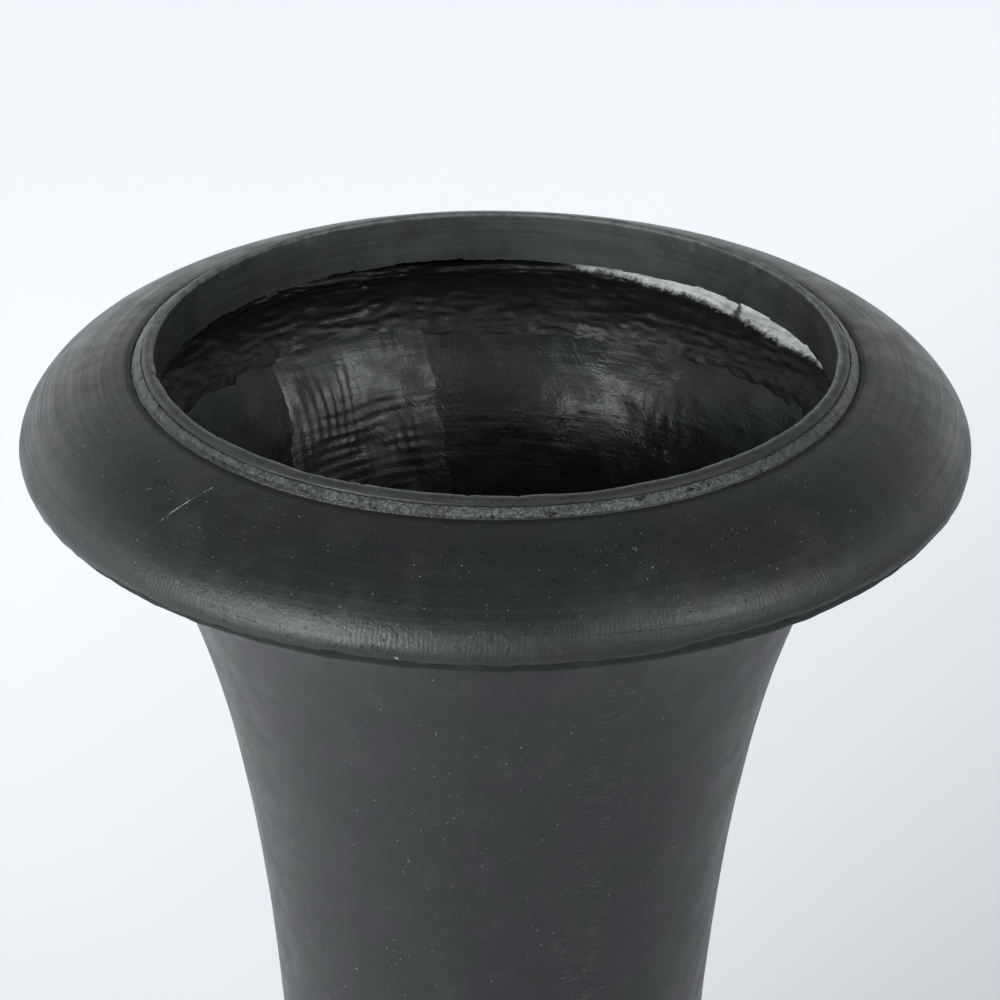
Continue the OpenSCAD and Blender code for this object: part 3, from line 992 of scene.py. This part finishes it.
# Pores painted near black: painted shade in the pits.
ring_colour = band.mix(pores, ring_colour, pit_shade_black)
ring_black = band.finished(ring_colour, ring_roughness)

ragged_h = 0.0012
ring_bm = spun(ring_outline(), 900)
for v in ring_bm.verts:
    if v.co.z < ring_low + ragged_h:
        at = Vector((v.co.x, v.co.y, 0))
        step = 0.0007 if noise.noise(at / 0.021) > 0.12 else 0.0
        v.co.z += 0.0005 * lumps(at, 0.006) + step
pushed(ring_bm, ring_push)
mouth_ring = set_down("mouth_band", ring_bm, ring_black)
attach(mouth_ring, "pot")
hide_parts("mouth_ring")


# ---- Lip filler ----
# Coarse filler that slopes from the lip down to the dome. It was rasped and painted but never sanded
# smooth, so its grain glitters, and pale glints are painted on its grain, strongest at the front: painted
# highlights.
coarse = Finish("rasped_black")
filler_colour, filler_roughness = satin_black(coarse, 1.0)
grain = coarse.grain(900.0, 3.0, 0.75)
coarse.raised(grain, 0.00035)
# Pale grey glints painted into the grain, strongest at the front: painted highlights.
painted_glints = coarse.ease(coarse.grain(70.0, 3.0, 0.7), 0.30, 0.60, 0.35, 1.0)
painted_glints = coarse.times(painted_glints, coarse.ease(grain, 0.40, 0.66, 0.18, 1.0))
painted_glints = coarse.times(painted_glints, coarse.ease(coarse.y, -0.060, -0.142, 0.30, 1.0))
filler_colour = coarse.mix(painted_glints, filler_colour, (0.130, 0.137, 0.137))
joint_line = coarse.ease(coarse.along(), 0.0013, 0.0005)
filler_turn = coarse.azimuth()
foot_way = coarse.ease(filler_turn, math.radians(-130), math.radians(-95), 0.0033, 0.0046)
foot_waver = coarse.ease(coarse.grain(180.0, 3.0), 0.3, 0.7, -0.0004, 0.0004)
foot_way = coarse.plus(foot_way, foot_waver)
foot_line = coarse.times(coarse.math("SUBTRACT", coarse.along(), foot_way), 1600.0)
foot_line = coarse.math("MINIMUM", coarse.most(foot_line, 0.0), 0.92)
filler_roughness = coarse.math("SUBTRACT", filler_roughness, 0.06)
filler_colour = coarse.mix(coarse.most(joint_line, foot_line), filler_colour, shadow_black)
holes = coarse.spots(240.0, 0.40, 0.22)
pit_long = 0.0024
pit_wide = 0.0009
for pit_turn, pit_way in ((-68.2, 0.0022), (-60.1, 0.0030), (-82.0, 0.0040)):
    off = coarse.times(coarse.math("SUBTRACT", filler_turn, math.radians(pit_turn)), ring_r / pit_long)
    down = coarse.times(coarse.math("SUBTRACT", coarse.along(), pit_way), 1 / pit_wide)
    away = coarse.plus(coarse.math("POWER", off, 2.0), coarse.math("POWER", down, 2.0))
    away = coarse.plus(away, coarse.ease(grain, 0.3, 0.7, -0.4, 0.4))
    holes = coarse.most(holes, coarse.ease(away, 1.0, 0.6))
coarse.raised(holes, -0.0007)
# Pits painted near black: painted shade in the pits.
filler_colour = coarse.mix(holes, filler_colour, pit_shade_black)
rasped_black = coarse.finished(filler_colour, filler_roughness)

filler_top = (ring_r - 0.0002, mouth_z - lip_drop)
filler_foot = (groove_r, groove_z)
filler_outline = [(filler_top[0] + (filler_foot[0] - filler_top[0]) * i / 8,
                   filler_top[1] + (filler_foot[1] - filler_top[1]) * i / 8) for i in range(9)]
filler_outline += [(groove_r, land_z), (ring_r, land_z)]
filler_bm = spun(filler_outline, 1200)


def rasp(place, way):
    """Grain of the filler, with a shallow trough where it meets the dome and a few chips."""
    if way > 0.0062:
        return 0.0
    chips = 0.0012 * max(lumps(place, 0.0045, 2) - 0.38, 0.0)
    trough = 0.0005 * math.exp(-((way - 0.0058) / 0.0006) ** 2) + 0.0005 * math.exp(-(way / 0.0006) ** 2)
    return 0.00026 * lumps(place, 0.0019, 2) + 0.00020 * lumps(place, 0.012) - chips - trough


pushed(filler_bm, rasp)
lip_filler = set_down("lip_filler_rasped", filler_bm, rasped_black, crease=70)
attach(lip_filler, "pot")
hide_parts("lip_filler")


# ---- Lip tape ----
# Strip of glass cloth wetted out with clear resin, never painted. It bonds the ring's flange to the
# underside of the dome, out of sight in the hollow collar.
cloth_bare = Finish("bare_cloth")
threads = cloth_bare.noise(cloth_bare.stretched(700.0, 700.0, 200.0), 1.0, 2.0)
cloth_bare.raised(threads, 0.0004)
bare_colour = cloth_bare.mix(threads, (0.42, 0.43, 0.38), (0.66, 0.66, 0.60))
bare_cloth = cloth_bare.finished(bare_colour, 0.55)

lip_low = land_z - ring_flange_t
under_r = ring_flange_r + 0.0004
start_r = ring_r + 0.003
tape_outline = [(start_r + (under_r - start_r) * i / 8, lip_low - tape_t) for i in range(9)]
tape_outline += [(under_r + tape_t, lip_low - 0.0004), (under_r + tape_t, land_z - 0.0022)]
tape_outline += [(under_r, land_z - 0.0020), (under_r, lip_low), (start_r, lip_low)]
lip_bm = spun(tape_outline, 360)
pushed(lip_bm, lambda place, way: 0.00035 * lumps(place, 0.008) if place.z < lip_low - 0.0003 else 0.0)
lip_cloth = set_down("lip_cloth", lip_bm, bare_cloth, crease=60)
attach(lip_cloth, "pot")
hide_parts("lip_tape")


# ---- Base disc ----
# Cast flat disc of the same clay and resin on the foot flange, with the drain hole drilled through it.
# Unpainted below, where casting left it sandy.
cast = Finish("cast_base")
sand = cast.grain(900.0, 3.0, 0.7)
blotch = cast.grain(30.0, 4.0, 0.6)
disc_colour = cast.mix(cast.ease(blotch, 0.35, 0.65), (0.20, 0.20, 0.19), (0.31, 0.31, 0.29))
disc_colour = cast.mix(cast.ease(sand, 0.45, 0.65, 0.0, 0.5), disc_colour, (0.42, 0.42, 0.40))
cast.raised(sand, 0.00025)
cast.raised(cast.spots(180.0, 0.3, 0.2), -0.0006)
cast_base = cast.finished(disc_colour, 0.75)

disc_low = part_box("base_disc")[0].z
disc_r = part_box("base_disc")[1].x
drain_r = 0.010
edge = 0.0008
disc_rows = 24
inner_r = drain_r + edge
disc_outline = [(drain_r, disc_low + edge)]
disc_outline += [(inner_r + (disc_r - edge - inner_r) * i / disc_rows, disc_low)
                 for i in range(disc_rows + 1)]
disc_outline += [(disc_r, disc_low + edge)]
disc_outline += [(disc_r + (inner_r - disc_r) * i / disc_rows, base_top) for i in range(disc_rows + 1)]
disc_outline += [(drain_r, base_top - edge)]
disc_bm = spun(disc_outline, 180)
pushed(disc_bm, lambda place, way: 0.00012 * lumps(place, 0.01) if place.xy.length > 0.018 else 0.0)
base_disc = set_down("base_cast", disc_bm, cast_base)
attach(base_disc, "pot")
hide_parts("base_disc")


# ---- Base tape ----
# Glass cloth in the corner between the base and the lining, wetted out with resin and sprayed black
# like the neck's. It holds the disc and keeps the corner from leaking.
wet_corner = Finish("corner_cloth_black")
corner_black = wet_corner.finished(*inner_black(wet_corner, 0.3, 0.5))
corner_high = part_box("base_tape")[1].z
corner_r = skin(base_top, cloth_depth)[0]
flat_r = corner_r - 0.010
flat_z = base_top + tape_t
corner_face = skin_run(base_top + 0.012, corner_high, 0.0016, cloth_depth)[::-1]
corner_face += curve_through(corner_face[-1], (corner_r, base_top + 0.004), (corner_r - 0.003, flat_z),
                             (flat_r, flat_z), 8)[1:]
corner_face += [(flat_r - 0.0015 * i, flat_z) for i in range(1, 20)]
corner_length = run_length(corner_face) + 0.0001
corner_back = [(corner_face[-1][0], base_top + 0.0002), (corner_r + 0.0015, base_top + 0.0002)]
corner_back += skin_run(base_top + 0.004, corner_high, 0.01, shell_wall + mat_t - 0.0003)


def creases(place, way):
    """Soft folds and the weave of the corner cloth, dying out at its edges."""
    if way > corner_length:
        return 0.0
    hem = min(way / 0.003, (corner_length - way) / 0.003, 1.0)
    return hem * (0.0006 * lumps(place, 0.012) + 0.0003 * lumps(place, 0.005))


corner_bm = spun(corner_face + corner_back, 360)
pushed(corner_bm, creases)
corner_cloth = set_down("corner_cloth", corner_bm, corner_black, crease=70)
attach(corner_cloth, "pot")
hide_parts("base_tape")


# ---- Drain plug ----
# Soft black rubber bung, pushed up into the drain hole from below and pulled straight down to open it.
# Moulded, with a thumb-wide dish in its head and a raised rim to grip.
rubber = Finish("bung_rubber")
bloom = rubber.grain(160.0, 4.0, 0.65)
rubber_share = rubber.ease(bloom, 0.4, 0.7)
rubber_colour = rubber.mix(rubber_share, (0.012, 0.012, 0.012), (0.035, 0.035, 0.034))
rubber.raised(rubber.grain(1500.0), 0.00005)
bung_rubber = rubber.finished(rubber_colour, rubber.ease(bloom, 0.35, 0.7, 0.55, 0.8))

plug_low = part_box("drain_plug")[0].z
plug_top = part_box("drain_plug")[1].z
head_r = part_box("drain_plug")[1].x
shank_r = drain_r - 0.00005
plug_outline = [(0.0, plug_low + 0.0012), (0.006, plug_low + 0.0011), (0.009, plug_low + 0.0006),
                (0.0105, plug_low)]
plug_outline += [(head_r - 0.0012 + 0.0012 * math.sin(math.radians(a)),
                  plug_low + 0.0012 - 0.0012 * math.cos(math.radians(a))) for a in range(0, 91, 15)]
plug_outline += [(head_r, disc_low - 0.0008), (head_r - 0.0008, disc_low), (shank_r, disc_low),
                 (shank_r, base_top), (shank_r - 0.0008, plug_top - 0.0005), (shank_r - 0.0014, plug_top)]
plug_outline += [(0.0, plug_top)]
plug_bm = bmesh.new()
plug_corners = [plug_bm.verts.new((r, 0, z)) for r, z in plug_outline]
plug_edges = [plug_bm.edges.new(pair) for pair in zip(plug_corners, plug_corners[1:])]
bmesh.ops.spin(plug_bm, geom=plug_corners + plug_edges, cent=(0, 0, 0), axis=(0, 0, 1), dvec=(0, 0, 0),
               angle=math.tau, steps=96, use_merge=True, use_normal_flip=False, use_duplicate=False)
bmesh.ops.remove_doubles(plug_bm, verts=plug_bm.verts, dist=0.00001)
bmesh.ops.recalc_face_normals(plug_bm, faces=plug_bm.faces)
bung = set_down("bung", plug_bm, bung_rubber)
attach(bung, "drain_plug")
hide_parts("drain_plug")
